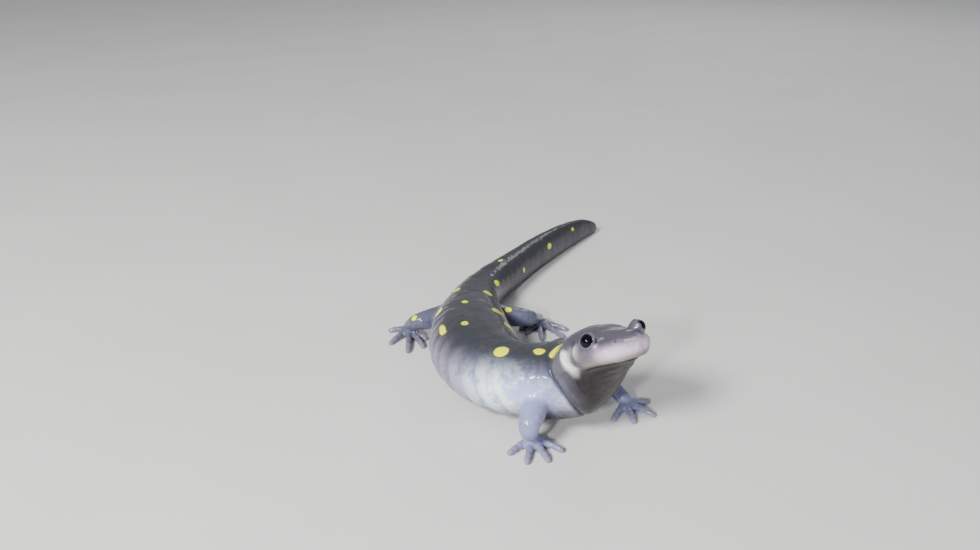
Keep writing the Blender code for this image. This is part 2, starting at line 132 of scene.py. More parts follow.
# Limbs: the points root, upper, joint, lower and end as x, y, z, radius; the digits' tips. Apart
# from the right hand's, the tips are a scratch program's output, some of them then adjusted.
LIMBS = {
    "foreleg_right": {
        "path": [(6.0, -61.0, 12.8, 3.9), (5.0, -66.0, 10.6, 3.4), (3.2, -71.4, 7.4, 2.6),
                 (3.8, -69.6, 4.6, 2.0), (4.3, -67.0, 2.1, 1.8)],
        "digits": [(-1.6, -72.4), (2.6, -76.2), (7.9, -75.4), (11.6, -71.2)]},
    "foreleg_left": {
        "path": [(8.0, -55.2, 12.8, 3.9), (13.6, -48.4, 11.0, 3.4), (20.4, -45.8, 8.4, 2.6),
                 (25.6, -48.2, 4.9, 2.0), (29.2, -51.0, 2.1, 1.8)],
        "digits": [(35.8, -49.2), (36.2, -55.9), (30.5, -59.1), (25.2, -58.0)]},
    "hindleg_right": {
        "path": [(-16.0, -9.0, 6.2, 3.8), (-22.0, -11.5, 6.2, 3.2), (-27.0, -13.6, 6.0, 2.5),
                 (-29.4, -11.6, 4.0, 2.0), (-30.4, -9.4, 2.1, 1.8)],
        "digits": [(-25.0, -14.6), (-25.4, -19.7), (-29.8, -22.7), (-35.6, -17.4),
                   (-36.6, -9.1)]},
    "hindleg_left": {
        "path": [(-6.0, -10.0, 6.2, 3.8), (-0.5, -11.0, 6.4, 3.2), (5.0, -11.6, 6.2, 2.5),
                 (7.4, -8.0, 4.1, 2.0), (8.8, -4.2, 2.1, 1.8)],
        "digits": [(3.2, -7.9), (5.0, -10.8), (9.6, -15.2), (16.4, -14.1), (17.6, -8.6)]},
}
SECTION_POWER = 2.2
PALM_REACH = 0.42
PALM_HALF_WIDTH = 2.7
PALM_HALF_HEIGHT = 1.15
DIGIT_RADII = (1.05, 0.85, 0.78, 0.66)
DIGIT_HEIGHTS = (1.4, 1.15, 1.0, 0.55)
LID_RADIUS = 2.3
LID_INSET = 0.62
BODY_RING = 72
LIMB_RING = 28
STEPS = 10                      # rings between two stations

MOUTH_FRONT_DROP = 2.95         # mouth line below the head's axis at the snout
MOUTH_LENGTH = 11.3
MOUTH_SLOPE = math.radians(8)
NOSTRIL = (2.0, 2.75, 1.7)      # behind the snout, sideways, above the axis
GULAR_PLACE = 6.38              # spine station of the fold between throat and chest
JAW_CREASE_PLACE = 5.1          # spine station of the crease behind the jaw
CHEST_CREASE_PLACE = 7.0        # spine station of the crease on the chest
HEAD_END = 24.0                 # along the spine, where head features stop
FINE_END = 27.0                 # along the spine, where the finer faces stop

FLESH = [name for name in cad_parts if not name.startswith("eye")]


def head_point(behind, left, above):
    return SNOUT - HEAD_FORWARD * behind + HEAD_LEFT * left + HEAD_UP * above


def placed(rows):
    """Rows of x, y, z and sizes, moved to where the solids stand."""
    rows = np.array(rows, dtype=float)
    rows[:, :3] += BOX_CENTRE_SHIFT
    return rows


def spine_stations():
    head = [[*head_point(behind, 0, 0), *sizes] for behind, *sizes in HEAD_SECTIONS]
    return np.vstack([head, placed(TRUNK_SECTIONS)])


def throat_stations():
    head = [[*head_point(behind, 0, above), *sizes]
            for behind, above, *sizes in THROAT_HEAD_SECTIONS]
    return np.vstack([head, placed(THROAT_NECK_SECTIONS)])


# ---------------------------------------------------------------- curves and lofts
def smooth_curve(stations, places):
    """Points of the smooth curve through the stations, at fractional station numbers."""
    first = 2 * stations[0] - stations[1]
    last = 2 * stations[-1] - stations[-2]
    points = np.vstack([first, stations, last])
    gaps = np.sqrt(np.maximum(np.linalg.norm(np.diff(points[:, :3], axis=0), axis=1), 1e-6))
    places = np.asarray(places, dtype=float)
    index = np.minimum(places.astype(int), len(stations) - 2)
    t = (places - index)[:, None]
    p0, p1, p2, p3 = (points[index + k] for k in range(4))
    d0, d1, d2 = (gaps[index + k][:, None] for k in range(3))
    m1 = p2 - p1 + d1 * ((p1 - p0) / d0 - (p2 - p0) / (d0 + d1))
    m2 = p2 - p1 + d1 * ((p3 - p2) / d2 - (p3 - p1) / (d1 + d2))
    a = 2 * (p1 - p2) + m1 + m2
    b = 3 * (p2 - p1) - 2 * m1 - m2
    return p1 + t * (m1 + t * (b + t * a))


def curve_frames(stations, places, upright=True):
    """Rows of the curve with its forward, side and up axes (forward is towards station 0)."""
    last = len(stations) - 1
    step = 0.02
    rows = smooth_curve(stations, places)
    ahead = smooth_curve(stations, np.clip(np.asarray(places) - step, 0, last))[:, :3]
    behind = smooth_curve(stations, np.clip(np.asarray(places) + step, 0, last))[:, :3]
    forward = ahead - behind
    forward /= np.linalg.norm(forward, axis=1)[:, None]
    if upright:
        side = np.cross([0, 0, 1], forward)
    else:
        side = np.empty_like(forward)
        previous = np.array([0.31, 0.17, 0.93])
        for number, direction in enumerate(forward):
            previous = unit(previous - direction * previous.dot(direction))
            side[number] = previous
    side /= np.linalg.norm(side, axis=1)[:, None]
    return rows, forward, side, np.cross(forward, side)


def quads(rings, count, first=0):
    """Faces between neighbouring rings of points, each ring closed."""
    faces = []
    for row in range(rings - 1):
        low = first + row * count
        high = low + count
        for corner in range(count):
            following = (corner + 1) % count
            faces.append((low + corner, high + corner, high + following, low + following))
    return faces


def ball_rings(rings, count):
    """Points of a unit ball between its poles, each with its angle from the top."""
    for row in range(1, rings):
        lean = math.pi * row / rings
        for corner in range(count):
            turn = 2 * math.pi * corner / count
            yield lean, (math.sin(lean) * math.cos(turn), math.sin(lean) * math.sin(turn),
                         math.cos(lean))


def ball_faces(rings, count, first, top, bottom):
    """Faces between a ball's rings, and triangles round its two poles."""
    faces = quads(rings - 1, count, first)
    last = first + (rings - 2) * count
    for corner in range(count):
        following = (corner + 1) % count
        faces.append((top, first + corner, first + following))
        faces.append((last + corner, bottom, last + following))
    return faces


class Hull:
    """Closed lofts and balls that are later merged into one skin."""

    def __init__(self):
        self.points = []
        self.faces = []

    def add(self, points, faces):
        start = len(self.points)
        self.points.extend(points)
        self.faces.extend([[start + corner for corner in face] for face in faces])

    def loft(self, stations, ring, upright=True):
        places = np.linspace(0, len(stations) - 1, (len(stations) - 1) * STEPS + 1)
        rows, _, side, above = curve_frames(stations, places, upright)
        angle = np.linspace(0, 2 * np.pi, ring, endpoint=False)
        power = 2 / SECTION_POWER
        across = np.copysign(np.abs(np.cos(angle)) ** power, np.cos(angle))
        height = np.copysign(np.abs(np.sin(angle)) ** power, np.sin(angle))
        points = []
        for row, sideways, up in zip(rows, side, above):
            tall = np.where(height > 0, row[4], row[5]) * height
            points.extend(row[:3] + np.outer(across * row[3], sideways) + np.outer(tall, up))
        faces = quads(len(rows), ring)
        faces.append(tuple(range(ring)))
        faces.append(tuple(reversed(range((len(rows) - 1) * ring, len(rows) * ring))))
        self.add(points, faces)

    def tube(self, path):
        """A round tube with domed ends through rows of x, y, z, radius."""
        path = np.asarray(path, dtype=float)
        ends = []
        for end, inner in ((path[0], path[1]), (path[-1], path[-2])):
            out = unit(end[:3] - inner[:3])
            ends.append([[*(end[:3] + out * end[3] * math.sin(angle)), end[3] * math.cos(angle)]
                         for angle in (math.radians(85), math.radians(50))])
        rows = np.vstack([ends[0], path, ends[1][::-1]])
        self.loft(np.hstack([rows, rows[:, 3:4], rows[:, 3:4]]), LIMB_RING, upright=False)

    def ball(self, centre, radius, rings=24):
        count = rings * 2
        ring = [centre + radius * np.array(point) for _, point in ball_rings(rings, count)]
        points = [centre + [0, 0, radius], *ring, centre - [0, 0, radius]]
        self.add(points, ball_faces(rings, count, 1, 0, len(points) - 1))


def limb_path(name):
    return placed(LIMBS[name]["path"])


def digit_paths(name):
    """Each digit's middle line from the wrist or ankle out to its tip."""
    start = limb_path(name)[-1]
    paths = []
    for tip in LIMBS[name]["digits"]:
        tip = np.array(tip) + BOX_CENTRE_SHIFT[:2]
        rows = [[*(start[:2] + (tip - start[:2]) * share), height, radius]
                for share, radius, height in zip((0.12, 0.45, 0.72, 0.95), DIGIT_RADII,
                                                 DIGIT_HEIGHTS)]
        paths.append(np.array(rows))
    return paths


def palm_stations(name):
    wrist = limb_path(name)[-1][:2]
    tips = np.array(LIMBS[name]["digits"]) + BOX_CENTRE_SHIFT[:2]
    reach = (tips.mean(axis=0) - wrist) * PALM_REACH * 1.25
    rows = []
    for share, width in ((-0.25, 0.3), (0.0, 0.75), (0.5, 1.0), (0.9, 0.9), (1.15, 0.3)):
        height = PALM_HALF_HEIGHT * (1.15 if share < 0.3 else 0.95) * min(1.0, width + 0.2)
        rows.append([*(wrist + reach * share), PALM_HALF_HEIGHT + 0.1,
                     PALM_HALF_WIDTH * width, height, height])
    return np.array(rows)


def eye_direction(side):
    forward, sideways, up = EYE_OUTWARD
    return unit(HEAD_FORWARD * forward + HEAD_LEFT * side * sideways + HEAD_UP * up)


EYES = {"eye_left": (EYE_LEFT, eye_direction(1)), "eye_right": (EYE_RIGHT, eye_direction(-1))}


# ---------------------------------------------------------------- places on the body
def smooth_step(low, high, value):
    t = np.clip((value - low) / (high - low), 0, 1)
    return t * t * (3 - 2 * t)


def fade(low, high, value):
    """1 up to low, 0 from high on, smooth between."""
    return 1 - smooth_step(low, high, value)


def bell(value, width):
    return np.exp(-(value / width) ** 2)


class BodyMap:
    """Where points lie on the animal: along the spine, round it, on the head and limbs."""

    def __init__(self, points):
        self.points = points
        stations = spine_stations()
        places = np.linspace(0, len(stations) - 1, 420)
        rows, forward, side, above = curve_frames(stations, places)
        steps = np.linalg.norm(np.diff(rows[:, :3], axis=0), axis=1)
        along = np.concatenate([[0], np.cumsum(steps)])
        nearest = np.empty(len(points), dtype=int)
        chunk = 20000
        for start in range(0, len(points), chunk):
            part = points[start:start + chunk]
            gap = ((part ** 2).sum(1)[:, None] - 2 * part @ rows[:, :3].T
                   + (rows[:, :3] ** 2).sum(1)[None])
            nearest[start:start + chunk] = gap.argmin(1)
        offset = points - rows[nearest, :3]
        self.along = along[nearest] - (offset * forward[nearest]).sum(1)
        self.across = (offset * side[nearest]).sum(1)
        self.height = (offset * above[nearest]).sum(1)
        self.half_width = rows[nearest, 3]
        self.half_height = rows[nearest, 4]
        tall = np.where(self.height > 0, rows[nearest, 4], rows[nearest, 5])
        x, y = self.across / self.half_width, self.height / tall
        self.reach = (np.abs(x) ** SECTION_POWER + np.abs(y) ** SECTION_POWER) ** (
            1 / SECTION_POWER)
        self.round = np.degrees(np.arctan2(y, np.abs(x)))      # -90 belly, 0 flank, 90 back
        self.body_gap = (self.reach - 1) * np.minimum(self.half_width, tall)
        from_snout = points - SNOUT
        self.behind = -(from_snout @ HEAD_FORWARD)
        self.left = from_snout @ HEAD_LEFT
        self.above = from_snout @ HEAD_UP
        self.limb = self.limb_weight()
        self.on_body = 1 - self.limb
        self.on_head = (self.along < HEAD_END) * self.on_body

    def throat_gap(self):
        """Distance outside the throat's surface."""
        stations = throat_stations()
        rows, _, side, above = curve_frames(stations, np.linspace(0, len(stations) - 1, 80))
        nearest = ((self.points[:, None, :] - rows[None, :, :3]) ** 2).sum(2).argmin(1)
        offset = self.points - rows[nearest, :3]
        across = (offset * side[nearest]).sum(1)
        height = (offset * above[nearest]).sum(1)
        half_width = rows[nearest, 3]
        tall = np.where(height > 0, rows[nearest, 4], rows[nearest, 5])
        ahead = offset - across[:, None] * side[nearest] - height[:, None] * above[nearest]
        reach = np.sqrt((across / half_width) ** 2 + (height / tall) ** 2) - 1
        return np.hypot(reach * half_width, np.linalg.norm(ahead, axis=1)), reach

    def limb_weight(self):
        """1 on the legs and digits, 0 on head, trunk and tail."""
        gap = np.full(len(self.points), 1e9)
        for name in LIMBS:
            for path in (limb_path(name), *digit_paths(name)):
                gap = np.minimum(gap, self.path_distance(path, 30)[0])
        throat, reach = self.throat_gap()
        throat = np.where(reach > 0, throat, 0)
        outside = np.minimum(self.body_gap, np.where(self.along < 50, throat, 9.0))
        return fade(0.8, 2.2, gap) * smooth_step(0.3, 1.6, outside)

    def head_distance(self, behind, side, above, stretch=1.0):
        """Distance from a place on the head, the same on both sides."""
        return np.sqrt((self.behind - behind) ** 2 + (np.abs(self.left) - side) ** 2
                       + ((self.above - above) / stretch) ** 2)

    def plane(self, place):
        """Distance ahead of the section plane at a spine station."""
        rows, forward, _, _ = curve_frames(spine_stations(), [place])
        return (self.points - rows[0, :3]) @ forward[0]

    def path_distance(self, path, count=60):
        """Distance to a path's axis less its radius, and the place along it from 0 to 1."""
        rows = smooth_curve(np.asarray(path), np.linspace(0, len(path) - 1, count))
        best = np.full(len(self.points), 1e9)
        place = np.zeros(len(self.points))
        for number, row in enumerate(rows):
            gap = np.linalg.norm(self.points - row[:3], axis=1) - row[3]
            closer = gap < best
            best[closer] = gap[closer]
            place[closer] = number / (count - 1)
        return best, place


# ---------------------------------------------------------------- relief of the skin (mm)
COSTAL_FIRST = 41.0
COSTAL_SPACING = 4.15
COSTAL_COUNT = 12
COSTAL_SLANT = 0.12


def slanted(body):
    """Distance along the spine, leaning as the grooves do."""
    return body.along - COSTAL_SLANT * body.height


def costal_relief(body):
    """Twelve grooves down each flank and fainter ones on the tail."""
    along = slanted(body)
    phase = (along - COSTAL_FIRST) / COSTAL_SPACING
    offset = (phase - np.round(phase)) * COSTAL_SPACING
    flank = smooth_step(COSTAL_FIRST - 2.5, COSTAL_FIRST - 0.5, along)
    last_fades, last_ends = (COSTAL_FIRST + (COSTAL_COUNT - share) * COSTAL_SPACING
                             for share in (0.6, 0.1))
    flank *= fade(last_fades, last_ends, along)
    sides = smooth_step(-75, -35, body.round) * fade(5, 66, body.round)
    on_trunk = fade(0.15, 0.4, body.reach - 1) * body.on_body
    uneven = 1 + 0.55 * lumps(body.points, 9.0, 2)
    groove = -0.33 * bell(offset, 0.45) - 0.16 * np.cos(2 * np.pi * offset / COSTAL_SPACING)
    inner = 1 - 0.35 * smooth_step(2, 8, body.across)
    tail = smooth_step(101, 106, body.along) * fade(140, 168, body.along)
    tail_sides = smooth_step(-60, -25, body.round) * fade(30, 60, body.round)
    return on_trunk * uneven * (flank * sides * inner * groove
                                + 0.08 * tail * tail_sides * groove)


def fold_relief(body):
    """The gular fold, the crease behind the jaw, neck wrinkles and the back's mid-line."""
    ahead = body.plane(GULAR_PLACE)
    near_neck = bell(body.along - 27, 13) * fade(0.3, 0.7, body.reach - 1)
    low = fade(20, 62, body.round)
    relief = near_neck * low * (-0.85 * bell(ahead, 0.42) + 0.5 * bell(ahead - 2.2, 1.7)
                                + 0.18 * bell(ahead + 1.5, 1.2))
    crease = body.plane(JAW_CREASE_PLACE)
    cheeks = fade(25, 55, body.round) * smooth_step(-70, -30, body.round)
    relief += near_neck * cheeks * (-0.42 * bell(crease, 0.55) + 0.2 * bell(crease - 1.6, 1.2)
                                    + 0.22 * bell(crease + 2.0, 1.4))
    chest = body.plane(CHEST_CREASE_PLACE)
    relief += near_neck * cheeks * -0.22 * bell(chest, 0.4)
    spine_line = smooth_step(36, 42, body.along) * fade(92, 112, body.along)
    relief += -0.16 * spine_line * bell(body.across, 1.5) * (body.height > 0)
    return relief * body.on_body


def above_mouth(body):
    """Height over the closed mouth's line, which arches a little along the jaw."""
    line = -MOUTH_FRONT_DROP - body.behind * math.tan(MOUTH_SLOPE)
    arch = 0.25 * np.sin(np.clip(body.behind / MOUTH_LENGTH, 0, 1) * np.pi)
    return body.above - line - arch


def mouth_relief(body):
    """The closed mouth's line, with the lip standing over it."""
    above = above_mouth(body)
    span = fade(MOUTH_LENGTH - 1.0, MOUTH_LENGTH + 0.8, body.behind)
    span *= body.on_head
    slit = -0.60 * bell(above + 0.1, 0.26) * span
    lip = 0.30 * bell(above - 0.95, 0.75) * span
    chin = -0.22 * bell(above + 0.9, 0.7) * span
    corner = body.behind - MOUTH_LENGTH - 0.4
    droop = -0.3 * bell(corner, 0.7) * bell(above + 0.5, 1.0) * (np.abs(body.left) > 4)
    low = bell(body.behind - 7.0, 4.5) * smooth_step(0.0, 1.0, -above)
    wrinkle = -0.13 * bell(above + 1.7 + 0.10 * body.behind, 0.40) * low
    wrinkle += -0.09 * bell(above + 3.4 + 0.05 * body.behind, 0.45) * low
    return slit + lip + chin + droop * body.on_body + wrinkle * body.on_body


def temple_line(above):
    """How far behind the snout the groove behind the eye runs, at a height above the axis."""
    return 11.6 + 0.16 * np.clip(above, 0, 5) ** 2.3


def jaw_band(body):
    """The swollen edge behind the jaw on each side, from 0 to 1. It is raised in the relief, and
    its cream colour is a painted highlight.
    """
    middle = 14.6 - 0.015 * (body.above + 2.5) ** 2
    ragged = 0.5 * lumps(body.points, 5.0, 13)
    reach = 1.9 + 0.8 * smooth_step(-7.5, -4.0, body.above)
    across = fade(0.6, reach, np.abs(body.behind - middle) + ragged)
    span = smooth_step(-7.0, -2.8, body.above) * fade(-0.2, 1.1, body.above)
    return across * span * (np.abs(body.left) > 3.5) * (body.along < 26) * body.on_body


def head_relief(body):
    """Nostrils, cheeks, temples, the hollow between the eyes and the snout's edges."""
    side = np.abs(body.left)
    gap = body.head_distance(*NOSTRIL)
    front = fade(3.0, 5.0, gap)
    relief = front * (-0.80 * bell(gap, 0.45) + 0.22 * bell(gap - 0.95, 0.35))

    def swell(centre, width, height):
        return height * bell(body.head_distance(*centre), width)

    relief += swell((15.5, 7.4, 2.0), 2.6, 0.35)        # gland behind the eye
    relief += swell((10.5, 8.8, -1.5), 2.6, 0.30)       # jaw muscle
    temple = body.behind - temple_line(body.above)
    beside = smooth_step(3.6, 5.0, side) * fade(2.5, 5.0, -body.above)
    beside *= fade(1.8, 3.0, body.above)
    relief += beside * (body.along < HEAD_END) * (-0.34 * bell(temple, 0.42)
                                            + 0.12 * bell(temple - 1.2, 0.8))
    relief += 0.40 * jaw_band(body)
    relief += swell((4.2, 6.2, 1.2), 1.8, 0.22)         # edge from eye to nostril
    relief += swell((6.0, 0.0, 2.8), 2.8, -0.30)        # hollow between the eyes
    relief += swell((13.5, 0.0, 3.2), 3.0, 0.18)
    relief += swell((2.6, 6.2, -0.3), 1.6, 0.20)        # the snout's corner,
    relief += swell((2.4, 5.4, -2.9), 1.3, -0.20)       # rounder below
    return relief


def limb_relief(body):
    """Creases across elbows, knees and wrists, and the joints of the digits."""
    relief = np.zeros(len(body.points))
    for name in LIMBS:
        gap, place = body.path_distance(limb_path(name))
        near = fade(0.6, 1.6, gap)
        for middle, spread, count in ((0.5, 0.10, 34), (0.9, 0.06, 46)):
            relief += -0.09 * near * bell(place - middle, spread) * (
                0.5 + 0.5 * np.sin(place * count * math.pi))
        for path in digit_paths(name):
            gap, place = body.path_distance(path, 36)
            near = fade(0.25, 0.8, gap)
            relief += near * (0.10 * bell(place - 0.42, 0.07) + 0.09 * bell(place - 0.72, 0.06)
                              - 0.08 * bell(place - 0.57, 0.05) + 0.10 * bell(place - 0.95, 0.08))
    return relief


def lumps(points, size, seed):
    """Smooth noise between -1 and 1: a few crossed waves with turned axes."""
    generator = np.random.default_rng(seed)
    total = np.zeros(len(points))
    for _ in range(7):
        direction = unit(generator.normal(size=3))
        swirl = unit(generator.normal(size=3))
        phase = generator.uniform(0, 2 * np.pi)
        bend = 1.3 * np.sin(points @ swirl / (size * 0.37) + phase * 2)
        total += np.sin(points @ direction / (size * 0.159 * generator.uniform(0.8, 1.3)) + bend
                        + phase)
    return total / 4


def calmness(body):
    """How little the flesh is uneven: 1 on head and legs, 0 on trunk and throat."""
    off_body = smooth_step(0.2, 0.6, body.reach - 1)
    return np.clip(0.6 * smooth_step(18, 8, body.along) + off_body + body.limb + by_eyes(body),
                   0, 1)


def seen_from_eyes(body):
    """For each eye, where the points lie from its centre, how far off, and where it looks."""
    for centre, outward in EYES.values():
        offset = body.points - centre
        yield offset, np.linalg.norm(offset, axis=1), outward


def by_eyes(body):
    """1 on the eyelids, 0 a little way off."""
    near = np.zeros(len(body.points))
    for _, away, _ in seen_from_eyes(body):
        near = np.maximum(near, fade(EYE_RADIUS * 1.3, EYE_RADIUS * 1.9, away))
    return near


# The grain's named inputs, and the settings that they take.
GRAIN = {"Broad height": "broad_height", "Broad size": "broad_size",
         "Fine height": "fine_height", "Fine size": "fine_size",
         "Gland height": "gland_height", "Gland size": "gland_size", "Seed": "seed"}


def grain_tree():
    """Geometry nodes that raise lumps, grain and small glands along a skin's normals."""
    tree = bpy.data.node_groups.new("skin_grain", "GeometryNodeTree")
    face = tree.interface
    face.new_socket("Skin", in_out="INPUT", socket_type="NodeSocketGeometry")
    for name in GRAIN:
        face.new_socket(name, in_out="INPUT", socket_type="NodeSocketFloat")
    face.new_socket("Material", in_out="INPUT", socket_type="NodeSocketMaterial")
    face.new_socket("Skin", in_out="OUTPUT", socket_type="NodeSocketGeometry")
    graph = Graph(tree)
    given = {socket.name: graph.node("NodeGroupInput", {}, {}, socket.name)
             for socket in face.items_tree if socket.in_out == "INPUT"}

    def noise(size, detail):
        return graph.node("ShaderNodeTexNoise", {"noise_dimensions": "4D"}, {
            "W": given["Seed"], "Scale": 1.0 / given[size], "Detail": detail}, "Fac") - 0.5

    calm, lids = (graph.node("GeometryNodeInputNamedAttribute", {"data_type": "FLOAT"},
                             {"Name": name}, "Attribute") for name in ("calm", "lids"))
    height = noise("Broad size", 2.0) * given["Broad height"] * (1.0 - calm)
    height = height + noise("Fine size", 2.0) * given["Fine height"] * (1.0 - lids)
    centres = graph.node("ShaderNodeTexVoronoi", {"voronoi_dimensions": "4D"}, {
        "W": given["Seed"], "Scale": 1.0 / given["Gland size"]}, "Distance")
    glands = (1.0 - centres.ramp(0.0, 0.40)) * given["Gland height"]
    height = height + glands * (1.0 - calm)
    normal = graph.node("GeometryNodeInputNormal", {}, {}, "Normal")
    offset = graph.node("ShaderNodeVectorMath", {"operation": "SCALE"},
                        {"Vector": normal, "Scale": height}, "Vector")
    moved = graph.node("GeometryNodeSetPosition", {}, {
        "Geometry": given["Skin"], "Offset": offset}, "Geometry")
    real = graph.node("GeometryNodeRealizeInstances", {}, {"Geometry": moved}, "Geometry")
    dressed = graph.node("GeometryNodeSetMaterial", {}, {
        "Geometry": real, "Material": given["Material"]}, "Geometry")
    graph.node("NodeGroupOutput", {}, {"Skin": dressed}, None)
    return tree


LID_OPENING = math.radians(61)
LID_THICKNESS = 0.15


def lid_axes(outward):
    """The directions along and up across an eye's opening."""
    lengthwise = unit(HEAD_FORWARD - outward * outward.dot(HEAD_FORWARD))
    upward = np.cross(outward, lengthwise)
    return lengthwise, upward * np.sign(upward.dot(HEAD_UP))


def shape_eyelids(points):
    """Draw the skin over each eyeball into thin lids, and tuck it behind the ball inside them."""
    shaped = points.copy()
    for centre, outward in EYES.values():
        offset = shaped - centre
        radius = np.linalg.norm(offset, axis=1)
        near = np.flatnonzero(radius < EYE_RADIUS * 2.4)
        ray = offset[near] / radius[near][:, None]
        angle = np.arccos(np.clip(ray @ outward, -1, 1))
        lengthwise, upward = lid_axes(outward)
        turn = np.arctan2(ray @ upward, ray @ lengthwise)
        opening = LID_OPENING * (1 - 0.06 * np.cos(2 * turn) + 0.05 * np.sin(turn)
                                 + 0.13 * bell(turn, 0.28))
        past = np.degrees(angle - opening)
        brow = 0.10 * np.clip(np.sin(turn), 0, 1)
        thickness = LID_THICKNESS + brow - 0.06 * smooth_step(20, 45, past)
        rim = EYE_RADIUS + 0.02 + thickness * smooth_step(0, 11, past)
        hidden = EYE_RADIUS - 0.45 + 0.47 * smooth_step(-9, 0, past)
        excess = radius[near] - rim
        hugging = rim + excess * smooth_step(0.25, 1.3, excess) * smooth_step(14, 50, past)
        crease = -0.10 * bell(past - 30, 6.0) * smooth_step(0.05, 0.6, excess)
        new_radius = np.where(past < 0, hidden, hugging + crease)
        fade = smooth_step(EYE_RADIUS * 1.9, EYE_RADIUS * 2.35, radius[near])
        new_radius += (radius[near] - new_radius) * fade
        shaped[near] = centre + ray * new_radius[:, None]
    return shaped


# ---------------------------------------------------------------- markings
# Yellow spots. Each row: costal grooves behind the first one, distance round the body from the
# back's mid-line (left is positive), half length along and half width round, in mm. In all rows
# but the last five, the places and some sizes are a scratch program's output, rounded.
SPOTS = [
    (0, -3.5, 2.0, 2.0),
    (-2.5, -0.5, 1.75, 1.5),
    (-4, -3, 3.5, 2.5),
    (5.5, 11, 2.5, 2.5),
    (8, 8, 2.0, 2.0),
    (12, 5, 1.5, 1.5),
    (15.5, 5.5, 1.75, 1.0),
    (9, -1.5, 1.25, 1.0),
    (5, -3, 1.25, 1.0),
    (5.5, -9, 2.5, 1.0),
    (9.5, -10, 2.25, 1.5),
    (12.5, -5, 1.25, 1.25),
    (17, -4.5, 1.5, 1.0),
    (19, 0, 1.25, 0.75),
    (21, 7, 1.0, 0.75),
    (26, 5, 1.5, 1.0),
    # on the sides turned away
    (-1, 8, 1.75, 1.5),
    (2, 12, 2.0, 1.5),
    (23, -4.5, 1.5, 1.0),
    (27.5, -4, 1.5, 0.75),
    (30.5, 3, 1.0, 0.75),
]
# Small spots on the legs: limb, place along its path, direction from its axis, radius. The
# first two places come from that program as well.
LIMB_SPOTS = [
    ("hindleg_right", 2.0, (-0.6, -0.4, 0.7), 1.0),
    ("hindleg_left", 1.0, (0.0, -0.4, 0.9), 1.0),
    ("foreleg_left", 1.0, (0.2, 0.3, 0.9), 1.0),
]


def build_hull():
    hull = Hull()
    hull.loft(spine_stations(), BODY_RING)
    hull.loft(throat_stations(), BODY_RING)
    for name in LIMBS:
        hull.tube(limb_path(name))
        hull.loft(palm_stations(name), LIMB_RING)
        for path in digit_paths(name):
            hull.tube(path)
    for centre, outward in EYES.values():
        hull.ball(centre - outward * LID_INSET, LID_RADIUS)
    return hull


def mesh_points(mesh):
    points = np.empty(len(mesh.vertices) * 3)
    mesh.vertices.foreach_get("co", points)
    return points.reshape(-1, 3) / MM


def mesh_normals(mesh):
    normals = np.empty(len(mesh.vertices) * 3, dtype=np.float32)
    mesh.vertex_normals.foreach_get("vector", normals)
    return normals.reshape(-1, 3).astype(float)


def put_points(mesh, points):
    """Move a mesh's points, none of them below the floor."""
    points[:, 2] = np.maximum(points[:, 2], 0.0)
    mesh.vertices.foreach_set("co", (points * MM).ravel())
    mesh.update()


def new_object(name, data):
    made = bpy.data.objects.new(name, data)
    bpy.context.scene.collection.objects.link(made)
    return made


def modify(target, name, kind, **options):
    modifier = target.modifiers.new(name, kind)
    for option, value in options.items():
        setattr(modifier, option, value)
    return modifier


def apply_modifiers(target):
    evaluated = target.evaluated_get(bpy.context.evaluated_depsgraph_get())
    mesh = bpy.data.meshes.new_from_object(evaluated)
    target.modifiers.clear()
    old = target.data
    target.data = mesh
    bpy.data.meshes.remove(old)


def keep_largest(mesh):
    """Drop stray bits that the merging leaves beside the skin."""
    count = len(mesh.vertices)
    edges = np.empty(len(mesh.edges) * 2, dtype=int)
    mesh.edges.foreach_get("vertices", edges)
    edges = edges.reshape(-1, 2)
    label = np.arange(count)
    while True:
        low = np.minimum(label[edges[:, 0]], label[edges[:, 1]])
        new = label.copy()
        np.minimum.at(new, edges[:, 0], low)
        np.minimum.at(new, edges[:, 1], low)
        new = new[new]
        if np.array_equal(new, label):
            break
        label = new
    kept = np.bincount(label).argmax()
    if np.all(label == kept):
        return
    work = bmesh.new()
    work.from_mesh(mesh)
    work.verts.ensure_lookup_table()
    stray = [work.verts[i] for i in np.flatnonzero(label != kept)]
    bmesh.ops.delete(work, geom=stray, context="VERTS")
    work.to_mesh(mesh)
    work.free()


def junction_weight(body):
    """1 where limbs, throat and lids grow out of the body, for extra smoothing there."""
    gaps = [np.abs(body.body_gap), body.throat_gap()[0]]
    for name in LIMBS:
        gaps.append(np.abs(body.path_distance(limb_path(name), 40)[0]))
    for centre, outward in EYES.values():
        away = np.linalg.norm(body.points - centre + outward * LID_INSET, axis=1)
        gaps.append(np.abs(away - LID_RADIUS) + 0.4)
    ordered = np.sort(np.array(gaps), axis=0)
    return fade(0.6, 2.6, ordered[1])


def refine_head(mesh):
    """Cut the head's faces finer, so that lids, nostrils and folds have points to move."""
    body = BodyMap(mesh_points(mesh))
    fine = body.along < FINE_END
    work = bmesh.new()
    work.from_mesh(mesh)
    work.verts.ensure_lookup_table()
    edges = [edge for edge in work.edges
             if fine[edge.verts[0].index] and fine[edge.verts[1].index]]
    bmesh.ops.subdivide_edges(work, edges=edges, cuts=1, use_grid_fill=True)
    chosen = {vert for edge in edges if edge.is_valid for vert in edge.verts}
    bmesh.ops.smooth_vert(work, verts=list(chosen), factor=0.5, use_axis_x=True,
                          use_axis_y=True, use_axis_z=True)
    work.to_mesh(mesh)
    work.free()


def set_attribute(mesh, name, values):
    layer = mesh.attributes.new(name, "FLOAT", "POINT")
    layer.data.foreach_set("value", np.asarray(values, dtype=np.float32))


def round_distance(body):
    """Distance from the back's mid-line across the body, left positive."""
    return np.sign(body.across) * np.hypot(body.across, body.half_height - body.height)


